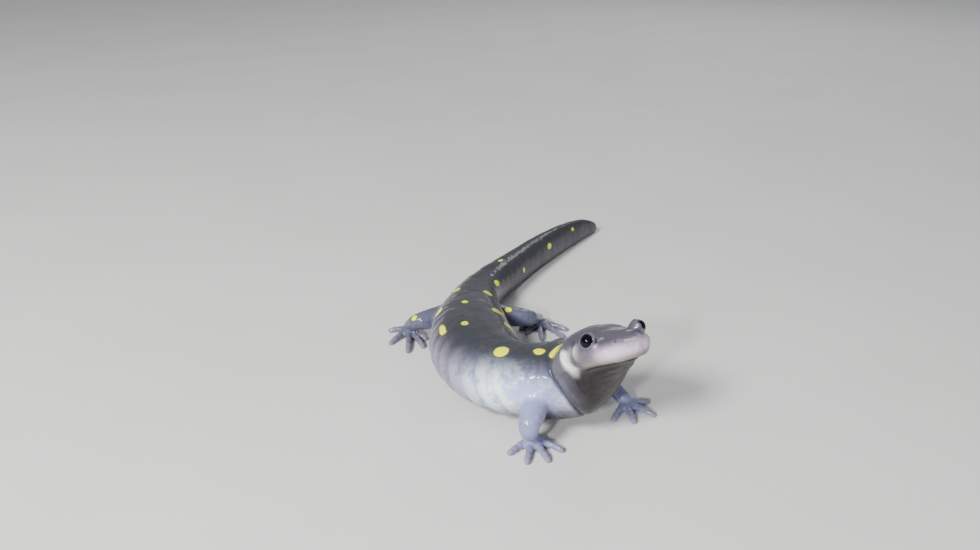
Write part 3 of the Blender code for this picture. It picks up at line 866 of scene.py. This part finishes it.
def spot_field(body):
    """Distance outside the nearest spot's edge, negative inside it, in mm."""
    field = np.full(len(body.points), 5.0)
    around = round_distance(body)
    for grooves, across, half_length, half_width in SPOTS:
        u = (body.along - COSTAL_FIRST - grooves * COSTAL_SPACING) / half_length
        v = (around - across) / half_width
        size = min(half_length, half_width)
        field = np.minimum(field, (np.sqrt(u * u + v * v) - 1) * size)
    field = np.minimum(field + 4 * body.limb, 5.0)
    for limb, place, direction, radius in LIMB_SPOTS:
        axis = smooth_curve(limb_path(limb), [place])[0]
        middle = axis[:3] + unit(np.array(direction)) * axis[3]
        field = np.minimum(field, np.linalg.norm(body.points - middle, axis=1) - radius)
    return field + 0.16 * lumps(body.points, 3.0, 21)


def toe_field(body):
    toe = np.zeros(len(body.points))
    for name in LIMBS:
        for path in digit_paths(name):
            gap, place = body.path_distance(path, 30)
            toe = np.maximum(toe, fade(0.3, 0.9, gap) * smooth_step(0.2, 0.9, place))
    return toe


def groove_shade_field(body):
    """Painted shade in the grooves: behind the eye, the gular fold, the mouth and the nostrils.
    """
    side = np.abs(body.left)
    temple = bell(body.behind - temple_line(body.above), 0.35) * smooth_step(3.6, 5.0, side)
    temple *= 0.8 * body.on_head * fade(1.0, 3.5, -body.above)
    temple *= fade(1.6, 2.8, body.above)
    gular = bell(body.plane(GULAR_PLACE), 0.42) * bell(body.along - 28, 9)
    gular *= fade(30, 66, body.round) * body.on_body
    span = fade(MOUTH_LENGTH - 0.5, MOUTH_LENGTH + 1.0, body.behind)
    mouth = bell(above_mouth(body) + 0.1, 0.24) * span * body.on_head
    gap = body.head_distance(*NOSTRIL)
    return np.max([temple, gular, mouth, bell(gap, 0.48)], axis=0)


def lid_field(body):
    """The eyelids' rims, painted a little paler than the head: partly the lids' own grey, partly
    a painted highlight.
    """
    lid = np.zeros(len(body.points))
    for offset, radius, outward in seen_from_eyes(body):
        angle = np.degrees(np.arccos(np.clip(offset @ outward / radius, -1, 1)))
        lid = np.maximum(lid, bell(angle - 68, 12) * (radius < EYE_RADIUS * 1.5))
    return lid


def eye_glint_and_cheek_field(body):
    """Painted highlights at the front corners of each eye, and a pale patch on the cheek behind
    it.
    """
    patch = np.zeros(len(body.points))
    for offset, radius, outward in seen_from_eyes(body):
        lengthwise, upward = lid_axes(outward)
        near = fade(3.4, 4.4, radius)
        # painted highlights on the lids at each eye's front corner
        for ahead, above, width in ((1.3, 2.5, 0.5), (2.1, 1.3, 0.4), (2.2, -0.9, 0.45)):
            gap = np.hypot(offset @ lengthwise - ahead, offset @ upward - above)
            patch = np.maximum(patch, 0.55 * near * bell(gap, width))
    return np.maximum(patch, 0.5 * bell(body.head_distance(10.9, 8.9, 0.6, 1.6), 1.2))


def paint_fields(mesh):
    """Store what the skin's material needs to know about each point."""
    body = BodyMap(mesh_points(mesh))
    flank = fade(25, 60, body.round)
    ahead = body.plane(GULAR_PLACE)
    # the neck ahead of the gular fold: its own slate, and on the flanks partly painted shade in
    # the hollow behind the jaw
    front = smooth_step(-0.4, 0.4, ahead) * flank + smooth_step(27, 20, body.along) * (1 - flank)
    front *= (body.along < 40) * body.on_body
    above = above_mouth(body)
    on_snout = fade(9.0, 14.0, body.behind) * body.on_head
    # the upper lip's pale band: partly the lip's own colour, mostly painted light where the lip
    # faces the lamps, brightest at the front and fading towards the back
    lip = smooth_step(0.1, 1.9, above) * fade(2.6, 5.7, above) * on_snout
    lip *= 0.06 + 0.94 * smooth_step(7.4, 0.8, body.behind)
    # painted shade where the upper lip turns under towards the mouth, olive grey
    lip_underside_shade = bell(above - 0.8, 0.9) * on_snout
    # painted shade, near black: the jaw below the mouth's line, the throat and the underside of
    # the chest
    jaw = fade(0.2, 1.3, above) * fade(13, 20, body.behind)
    jaw *= body.on_head
    below = fade(-62, -22, body.round) * fade(30, 42, body.along)
    # painted light on the swollen ribs between the costal grooves: 0 in each groove, 1 midway
    rib_light = np.cos(2 * np.pi * (slanted(body) - COSTAL_FIRST) / COSTAL_SPACING)
    rib_light = (0.5 - 0.5 * rib_light) * smooth_step(36, 41, body.along) * body.on_body
    rib_light *= fade(88, 94, body.along) * fade(15, 55, body.round)
    # painted light on the shoulders, the side of the flank that faces the lamps
    shoulder_light = bell(body.along - 38, 9) * bell(body.round + 2, 36) * (ahead < 0)
    fields = {
        "along": body.along / 100,
        "round": body.round / 90,
        "facing_up": mesh_normals(mesh)[:, 2],
        "limb": body.limb,
        "toe": toe_field(body),
        "front": front,
        "snout": smooth_step(24, 12, body.behind) * front,
        "lip": lip,
        "lip_underside_shade": lip_underside_shade,
        "throat": np.maximum(jaw, below * body.on_body),
        "lid": lid_field(body),
        "spot": np.clip(spot_field(body), -3, 3),
        "crease": groove_shade_field(body),
        "rib_light": rib_light,
        "shoulder_light": shoulder_light,
        "band": jaw_band(body),
        "pale": eye_glint_and_cheek_field(body),
    }
    for name, values in fields.items():
        set_attribute(mesh, name, values)


JUNCTION_LEVELS = 8             # steps in the weight of the joins' smoothing


def settings():
    return bpy.context.scene.salamander


def build_skin():
    props = settings()
    hull = build_hull()
    mesh = bpy.data.meshes.new("skin")
    mesh.from_pydata([tuple(point * MM) for point in hull.points], [], hull.faces)
    skin = new_object("skin", mesh)
    modify(skin, "merge", "REMESH", mode="VOXEL",
           voxel_size=props.detail * 1.0)
    modify(skin, "smooth", "SMOOTH", factor=0.5, iterations=5)
    apply_modifiers(skin)
    keep_largest(skin.data)

    body = BodyMap(mesh_points(skin.data))
    group = skin.vertex_groups.new(name="junction")
    weight = junction_weight(body)
    for level in range(1, JUNCTION_LEVELS + 1):
        chosen = np.flatnonzero(np.ceil(weight * JUNCTION_LEVELS) == level)
        group.add(chosen.tolist(), level / JUNCTION_LEVELS, "REPLACE")
    modify(skin, "fillet", "SMOOTH", factor=0.5, iterations=34, vertex_group="junction")
    apply_modifiers(skin)

    refine_head(skin.data)
    points = mesh_points(skin.data)
    body = BodyMap(points)
    relief = (costal_relief(body) + fold_relief(body) + mouth_relief(body) + head_relief(body)
              + limb_relief(body))
    points = points + mesh_normals(skin.data) * relief[:, None]
    points = shape_eyelids(points)
    put_points(skin.data, points)
    set_attribute(skin.data, "calm", calmness(body))
    set_attribute(skin.data, "lids", by_eyes(body))
    grain = modify(skin, "grain", "NODES", node_group=grain_tree())
    wanted = {name: getattr(props, setting) for name, setting in GRAIN.items()}
    wanted["Material"] = skin_material()
    for socket in grain.node_group.interface.items_tree:
        if socket.name in wanted:
            grain[socket.identifier] = wanted[socket.name]
    apply_modifiers(skin)

    modify(skin, "thin", "DECIMATE", use_collapse_triangulate=True,
           ratio=min(1.0, props.triangles / (2 * len(skin.data.polygons))))
    apply_modifiers(skin)
    put_points(skin.data, mesh_points(skin.data))
    skin.vertex_groups.clear()
    for name in ("calm", "lids"):
        skin.data.attributes.remove(skin.data.attributes[name])
    skin.data.shade_smooth()
    paint_fields(skin.data)
    return skin


# ---------------------------------------------------------------- materials
def arithmetic(operation):
    """The methods of an operator: the plain form and the reflected one."""
    def plain(self, other):
        return self.math(operation, self, other)

    def reflected(self, other):
        return self.math(operation, other, self)

    return plain, reflected


class Value:
    """A socket that can be used in sums."""

    def __init__(self, graph, socket):
        self.graph = graph
        self.socket = socket

    def math(self, operation, first, second):
        return self.graph.node("ShaderNodeMath", {"operation": operation}, {0: first, 1: second})

    __add__, __radd__ = arithmetic("ADD")
    __sub__, __rsub__ = arithmetic("SUBTRACT")
    __mul__, __rmul__ = arithmetic("MULTIPLY")
    __truediv__, __rtruediv__ = arithmetic("DIVIDE")

    def ramp(self, low, high):
        """0 at low, 1 at high, smooth between."""
        return self.graph.node("ShaderNodeMapRange", {"interpolation_type": "SMOOTHSTEP"},
                               {"Value": self, "From Min": low, "From Max": high})


class Graph:
    """A node tree under construction."""

    def __init__(self, tree):
        self.tree = tree

    def node(self, kind, options, values, output=0):
        """Add a node, set its options, then plug or set its inputs."""
        made = self.tree.nodes.new(kind)
        for name, value in options.items():
            setattr(made, name, value)
        for name, value in values.items():
            self.plug(made.inputs[name], value)
        return None if output is None else Value(self, made.outputs[output])

    def plug(self, slot, value):
        if isinstance(value, Value):
            self.tree.links.new(value.socket, slot)
        else:
            slot.default_value = value


class Paint(Graph):
    """A material under construction."""

    def __init__(self, name):
        self.material = bpy.data.materials.new(name)
        self.material.use_nodes = True
        super().__init__(self.material.node_tree)
        self.shader = self.tree.nodes["Principled BSDF"]
        self.place = self.node("ShaderNodeTexCoord", {}, {}, "Object")

    def field(self, name):
        return self.node("ShaderNodeAttribute", {"attribute_name": name}, {}, "Fac")

    def noise(self, size_mm, detail=3.0, roughness=0.55, warp=0.0):
        return self.node("ShaderNodeTexNoise", {}, {
            "Vector": self.place, "Scale": 1 / (size_mm * MM), "Detail": detail,
            "Roughness": roughness, "Distortion": warp}, "Fac")

    def cells(self, size_mm):
        return self.node("ShaderNodeTexVoronoi", {}, {
            "Vector": self.place, "Scale": 1 / (size_mm * MM)}, "Distance")

    def mix(self, amount, first, second):
        """Blend two colours, each a link or three numbers."""
        first, second = (value if isinstance(value, Value) else (*value, 1.0)
                         for value in (first, second))
        return self.node("ShaderNodeMix", {"data_type": "RGBA"},
                         {0: amount, 6: first, 7: second}, 2)

    def cover(self, amount, colour):
        """Lay a colour over what is painted so far."""
        self.colour = self.mix(amount, self.colour, colour)

    def bump(self, height, distance_mm, strength=1.0):
        return self.node("ShaderNodeBump", {}, {
            "Height": height, "Distance": distance_mm * MM, "Strength": strength}, "Normal")

    def finish(self, **sockets):
        for name, value in sockets.items():
            self.plug(self.shader.inputs[name.replace("_", " ")], value)
        return self.material


def skin_material():
    props = settings()
    paint = Paint("salamander_skin")
    names = ("round", "along", "limb", "toe", "front", "snout", "lip", "lip_underside_shade", "throat",
             "lid", "crease", "rib_light", "band", "shoulder_light", "facing_up", "pale")
    (around, along, limb, toe, front, snout, lip, lip_underside_shade, throat, lid, crease, rib_light, band,
     shoulder_light, facing_up, pale) = (paint.field(name) for name in names)
    broad = paint.noise(7.0, 3.0, 0.5)
    patchy = paint.noise(3.4, 4.0, 0.6, 0.6)
    fine = paint.noise(1.2, 4.0, 0.6)
    mottle = paint.noise(2.6, 5.0, 0.62, 0.4)
    flecks = (1.0 - paint.cells(0.8).ramp(0.05, 0.22)) * fine.ramp(0.45, 0.7)

    # trunk and tail: dark back, paler flanks with painted light on the ribs, and painted light on
    # the shoulders
    side_edge = around + 0.40 * (broad - 0.5) + 0.22 * (patchy - 0.5) + 0.12 - 0.26 * rib_light
    paint.colour = paint.mix(side_edge.ramp(-0.12, 0.82), props.flank, props.back)
    # the ribs painted paler, as if lit, in the digits' colour
    paint.cover(rib_light * 0.38, props.toe)
    paint.cover((around * -1.0).ramp(0.35, 0.85) * 0.8, props.belly)
    paint.cover(along.ramp(0.98, 1.12) * 0.78, props.back)
    # painted light on the shoulders: bluish white, with brighter greenish-white patches of
    # painted glare
    cloud = paint.noise(8.0, 3.0, 0.5, 0.3) + 0.4 * (fine - 0.5) + 0.12 * rib_light
    paint.cover(shoulder_light, props.shoulder_light)
    paint.cover(shoulder_light * cloud.ramp(0.42, 0.62), props.shoulder_glare)

    # legs, neck and head
    # the forelegs take a share of the shoulders' painted light
    fore = 1.0 - along.ramp(0.46, 0.60)
    legs = paint.mix(fore * 0.35, props.limb, props.shoulder_light)
    paint.cover(limb * (1.0 - 0.30 * facing_up.ramp(0.3, 1.0)), legs)
    paint.cover(toe * 0.7, props.toe)
    # neck slate, on the flanks partly painted shade
    paint.cover(front, props.neck)
    paint.cover(snout * 0.95, props.head)
    # painted shade on jaw, throat and chest underside
    paint.cover(throat * 0.95, props.throat)
    # the upper lip's pale band, mostly painted light
    paint.cover(lip * 0.95, props.lip)
    # painted shade under the lip's edge
    paint.cover(lip_underside_shade * 0.75, props.lip_underside_shade)
    # the lids' rims: partly their own grey, partly a painted highlight
    paint.cover(lid * 0.35, props.lid)
    # painted highlights at the eyes' front corners, and the pale cheek patch, in the cream of the
    # jaw's highlight
    paint.cover(pale * 0.8, props.band)
    # painted highlight along the ridge behind the jaw
    paint.cover(band * (0.80 + 0.3 * fine), props.band)
    dark = mottle.ramp(0.46, 0.76) * (1.0 - 0.7 * shoulder_light)
    paint.cover(dark * 0.32, props.shade)
    paint.cover(flecks * 0.30 * (1.0 - throat), props.lip)
    # painted shade in the grooves and nostrils
    paint.cover(crease * 0.80, props.crease)

    spot = paint.field("spot") + 0.22 * (paint.noise(0.7, 2.0, 0.5) - 0.5)
    ring = 1.0 - spot.ramp(0.0, 0.50)
    paint.cover(ring * 0.7, props.spot_rim)
    inside = 1.0 - spot.ramp(-0.22, 0.06)
    yellow = paint.mix(paint.noise(1.6, 3.0).ramp(0.35, 0.75), props.spot, props.spot_pale)
    paint.cover(inside, yellow)

    # a wet film with pores and small standing drops
    drops = (1.0 - paint.cells(1.9).ramp(0.02, 0.17)) * mottle.ramp(0.40, 0.55)
    roughness = 0.42 + 0.16 * fine - 0.38 * drops
    pores = paint.cells(0.42)
    height = 0.6 * fine + 0.5 * pores.ramp(0.0, 0.5) + 0.8 * paint.noise(0.35, 2.0) + 2.2 * drops
    wet = 0.50 + 0.5 * broad - 0.55 * throat - 0.45 * along.ramp(0.95, 1.15)
    return paint.finish(
        Base_Color=paint.colour, Roughness=roughness, Coat_Weight=wet,
        Normal=paint.bump(height, 0.06, 0.9), Specular_IOR_Level=0.2, Coat_Roughness=0.05,
        Coat_IOR=1.5, Subsurface_Weight=0.12, Subsurface_Radius=(0.0012, 0.0007, 0.0006),
        Subsurface_Scale=1.0)


def eye_material():
    props = settings()
    paint = Paint("wet_eye")
    angle = paint.field("pupil_angle")
    turn = paint.field("iris_turn")
    streaks = paint.noise(0.35, 3.0, 0.6, 0.5)
    iris = 1.0 - (angle + 0.03 * (streaks - 0.5)).ramp(1.00, 1.12)
    colour = paint.mix(streaks.ramp(0.45, 0.7) * 0.6, props.iris, props.iris_fleck)
    colour = paint.mix(iris, props.eye_rim, colour)
    pupil = 1.0 - (angle + 0.05 * turn).ramp(0.34, 0.40)
    colour = paint.mix(pupil, colour, (0.001, 0.001, 0.0015))
    return paint.finish(Base_Color=colour, Roughness=0.22 + 0.1 * streaks,
                        Specular_IOR_Level=0.02, Coat_Weight=0.45, Coat_IOR=1.38,
                        Coat_Roughness=0.02)


def floor_material():
    paint = Paint("studio_floor")
    grain = paint.noise(60.0, 2.0)
    colour = paint.mix(grain.ramp(0.3, 0.7), (0.72, 0.71, 0.69), (0.75, 0.74, 0.72))
    return paint.finish(Base_Color=colour, Roughness=0.7)


# ---------------------------------------------------------------- operators
def length(name, description, default, **limits):
    return FloatProperty(name=name, description=description, default=default, precision=5,
                         subtype="DISTANCE", unit="LENGTH", **limits)


def colour(name, description, default):
    return FloatVectorProperty(name=name, description=description, default=default,
                               subtype="COLOR")


class SalamanderSettings(bpy.types.PropertyGroup):
    """Sizes and colours of the salamander."""
    detail: length("Detail", "Grid on which the hull is merged", 0.00025, min=0.00015, max=0.001)
    triangles: IntProperty(name="Triangles", description="Most triangles in the skin",
                           default=192000, min=10000, max=198000)
    seed: FloatProperty(name="Seed", description="Which unevenness the skin gets", default=4.0)
    broad_height: length("Broad unevenness", "Height of the soft lumps", 0.0005)
    broad_size: length("Broad size", "Width of the soft lumps", 0.005)
    fine_height: length("Fine unevenness", "Height of the skin's grain", 0.0002)
    gland_height: length("Gland height", "Height of the small glands", 0.00012)
    gland_size: length("Gland spacing", "Spacing of the small glands", 0.0024)
    fine_size: length("Fine size", "Width of the skin's grain", 0.0012)
    back: colour("Back", "Slate colour of the back", (0.026, 0.028, 0.036))
    flank: colour("Flank", "Lavender grey of the sides", (0.170, 0.160, 0.225))
    belly: colour("Belly", "Grey of the underside", (0.085, 0.078, 0.095))
    limb: colour("Limb", "Lavender blue of the legs", (0.080, 0.084, 0.140))
    # the digits' paler colour, also used for the painted light on the flank's ribs
    toe: colour("Toe", "Paler colour of the digits", (0.230, 0.200, 0.280))
    head: colour("Head", "Purplish grey of the head", (0.066, 0.054, 0.086))
    # slate of the neck, on the flanks partly painted shade
    neck: colour("Neck", "Slate of the neck before its fold", (0.085, 0.088, 0.110))
    # the lip's pale colour, mostly painted light
    lip: colour("Lip", "Pale pinkish lavender of the upper lip", (0.720, 0.570, 0.750))
    # olive grey of the painted shade under the lip's edge
    lip_underside_shade: colour("Lip edge", "Olive grey edge of the lip", (0.270, 0.245, 0.200))
    # near-black painted shade of jaw, throat and chest underside
    throat: colour("Throat", "Grey brown of jaw and throat", (0.009, 0.006, 0.0055))
    shade: colour("Mottling", "Dark flecks in the skin", (0.030, 0.030, 0.040))
    spot: colour("Spot", "Yellow of the spots", (0.930, 0.970, 0.003))
    spot_pale: colour("Spot, pale", "Palest yellow of the spots", (0.960, 1.000, 0.030))
    spot_rim: colour("Spot rim", "Olive rim round each spot", (0.085, 0.090, 0.022))
    # painted light on the shoulders, with brighter patches of painted glare
    shoulder_light: colour("Shoulder", "Bluish white of the shoulder", (0.430, 0.490, 0.880))
    shoulder_glare: colour("Shoulder blotches", "Greenish white patches", (0.860, 1.000, 0.880))
    # cream of the painted highlight behind the jaw; the eyes' highlights and the cheek patch use
    # it too
    band: colour("Jaw band", "Cream edge behind the jaw", (0.950, 0.950, 0.870))
    # grey of the lids' rims, partly a painted highlight
    lid: colour("Eyelid", "Grey of the eyelid's rim", (0.130, 0.125, 0.165))
    # blue black of the painted shade in folds and nostrils
    crease: colour("Creases", "Blue black of folds and nostrils", (0.006, 0.008, 0.018))
    iris: colour("Iris", "Ground colour of the iris", (0.002, 0.002, 0.004))
    iris_fleck: colour("Iris flecks", "Flecks in the iris", (0.005, 0.007, 0.020))
    eye_rim: colour("Eye rim", "Edge of the eyeball", (0.004, 0.004, 0.006))


class SALAMANDER_OT_skin(bpy.types.Operator):
    """Make the one seamless skin over head, trunk, tail and legs"""
    bl_idname = "salamander.skin"
    bl_label = "Skin"

    def execute(self, context):
        skin = build_skin()
        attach(skin, "root")
        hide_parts(*FLESH)
        return {"FINISHED"}


class SALAMANDER_OT_eyes(bpy.types.Operator):
    """Make the two dark, wet eyes"""
    bl_idname = "salamander.eyes"
    bl_label = "Eyes"

    def execute(self, context):
        material = eye_material()
        for node, (centre, outward) in EYES.items():
            eye = build_eye(node.replace("eye", "eyeball"), centre, outward)
            eye.data.materials.append(material)
            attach(eye, "root")
            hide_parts(node)
        return {"FINISHED"}


EYE_INSET = 0.03                        # the ball's surface inside the solid's, mm
CORNEA_RISE = 0.05
CORNEA_WIDTH = 0.6                      # radians


def build_eye(name, centre, outward):
    """An eyeball with its poles on the pupil's axis and a slightly raised cornea."""
    rings, count = 40, 64
    axis = Vector(outward).to_track_quat("Z", "Y").to_matrix()
    middle, front = Vector(centre), Vector(outward)
    back_radius = EYE_RADIUS - EYE_INSET
    points = []
    for lean, point in ball_rings(rings, count):
        radius = back_radius + CORNEA_RISE * math.exp(-(lean / CORNEA_WIDTH) ** 2)
        points.append((axis @ (Vector(point) * radius) + middle) * MM)
    faces = ball_faces(rings, count, 0, len(points), len(points) + 1)
    points.append((middle + front * (back_radius + CORNEA_RISE)) * MM)
    points.append((middle - front * back_radius) * MM)
    mesh = bpy.data.meshes.new(name)
    mesh.from_pydata(points, [], faces)
    mesh.shade_smooth()
    local = np.array([tuple(axis.transposed() @ (point / MM - middle)) for point in points])
    angle = np.arccos(np.clip(local[:, 2] / np.linalg.norm(local, axis=1), -1, 1))
    set_attribute(mesh, "pupil_angle", angle)
    set_attribute(mesh, "iris_turn", np.cos(2 * np.arctan2(local[:, 1], local[:, 0])))
    return new_object(name, mesh)


CAMERA_PLACE = (-5.78, -246.33, 125.0)  # mm
CAMERA_PITCH = math.radians(24)         # below the horizontal, looking along +Y
CAMERA_LENS = 32.33                     # mm
SENSOR_WIDTH = 36.0                     # mm
FLOOR_HALF = 3.0                        # m
FLOOR_DROP = 0.00005                    # m, so that the soles don't flicker in it
# Lights: name, place and aim (m), power (W), width (m), colour.
LIGHTS = (
    ("key", (-0.38, -0.52, 0.50), (0, -0.03, 0.01), 9.3, 0.20, (1.0, 0.98, 0.96)),
    ("spark", (-0.16, -0.50, 0.24), (0, -0.05, 0.015), 2.0, 0.04, (1.0, 1.0, 1.0)),
    ("rim", (0.25, 0.7, 0.5), (0, 0, 0.01), 1.1, 0.30, (0.95, 0.97, 1.0)),
)


def area_light(name, place, aim, power, width, colour):
    data = bpy.data.lights.new(name, "AREA")
    data.shape = "DISK"
    data.size = width
    data.energy = power
    data.color = colour
    light = new_object(name, data)
    light.location = place
    direction = Vector(aim) - Vector(place)
    light.rotation_euler = direction.to_track_quat("-Z", "Y").to_euler()


class SALAMANDER_OT_stage(bpy.types.Operator):
    """Make the pale floor, the soft lights and the camera"""
    bl_idname = "salamander.stage"
    bl_label = "Stage"

    def execute(self, context):
        scene = context.scene
        corners = [(x * FLOOR_HALF, y * FLOOR_HALF, 0)
                   for x, y in ((-1, -1), (1, -1), (1, 1), (-1, 1))]
        mesh = bpy.data.meshes.new("floor")
        mesh.from_pydata(corners, [], [(0, 1, 2, 3)])
        mesh.materials.append(floor_material())
        floor = new_object("floor", mesh)
        floor.location.z = -FLOOR_DROP
        for light in LIGHTS:
            area_light(*light)
        world = bpy.data.worlds.new("studio")
        world.use_nodes = True
        background = world.node_tree.nodes["Background"]
        background.inputs["Color"].default_value = (0.80, 0.83, 0.88, 1.0)
        background.inputs["Strength"].default_value = 0.42
        scene.world = world

        camera_data = bpy.data.cameras.new("camera")
        camera_data.lens = CAMERA_LENS
        camera_data.sensor_width = SENSOR_WIDTH
        camera_data.clip_start = 0.01
        camera = new_object("camera", camera_data)
        camera.location = Vector(CAMERA_PLACE) * MM
        camera.rotation_euler = (math.pi / 2 - CAMERA_PITCH, 0, 0)
        scene.camera = camera
        return {"FINISHED"}


class SALAMANDER_PT_panel(bpy.types.Panel):
    """Lists the salamander's pieces and colours"""
    bl_idname = "SALAMANDER_PT_panel"
    bl_label = "Salamander"
    bl_space_type = "VIEW_3D"
    bl_region_type = "UI"
    bl_category = "Salamander"

    def draw(self, context):
        layout = self.layout
        for operator in (SALAMANDER_OT_skin, SALAMANDER_OT_eyes, SALAMANDER_OT_stage):
            layout.operator(operator.bl_idname)
        for name in SalamanderSettings.__annotations__:
            layout.prop(context.scene.salamander, name)


CLASSES = (SalamanderSettings, SALAMANDER_OT_skin, SALAMANDER_OT_eyes, SALAMANDER_OT_stage,
           SALAMANDER_PT_panel)


def register():
    for item in CLASSES:
        bpy.utils.register_class(item)
    bpy.types.Scene.salamander = PointerProperty(type=SalamanderSettings)


def unregister():
    del bpy.types.Scene.salamander
    for item in reversed(CLASSES):
        bpy.utils.unregister_class(item)


def main():
    register()
    bpy.ops.salamander.skin()
    bpy.ops.salamander.eyes()
    bpy.ops.salamander.stage()


if __name__ == "__main__":
    main()
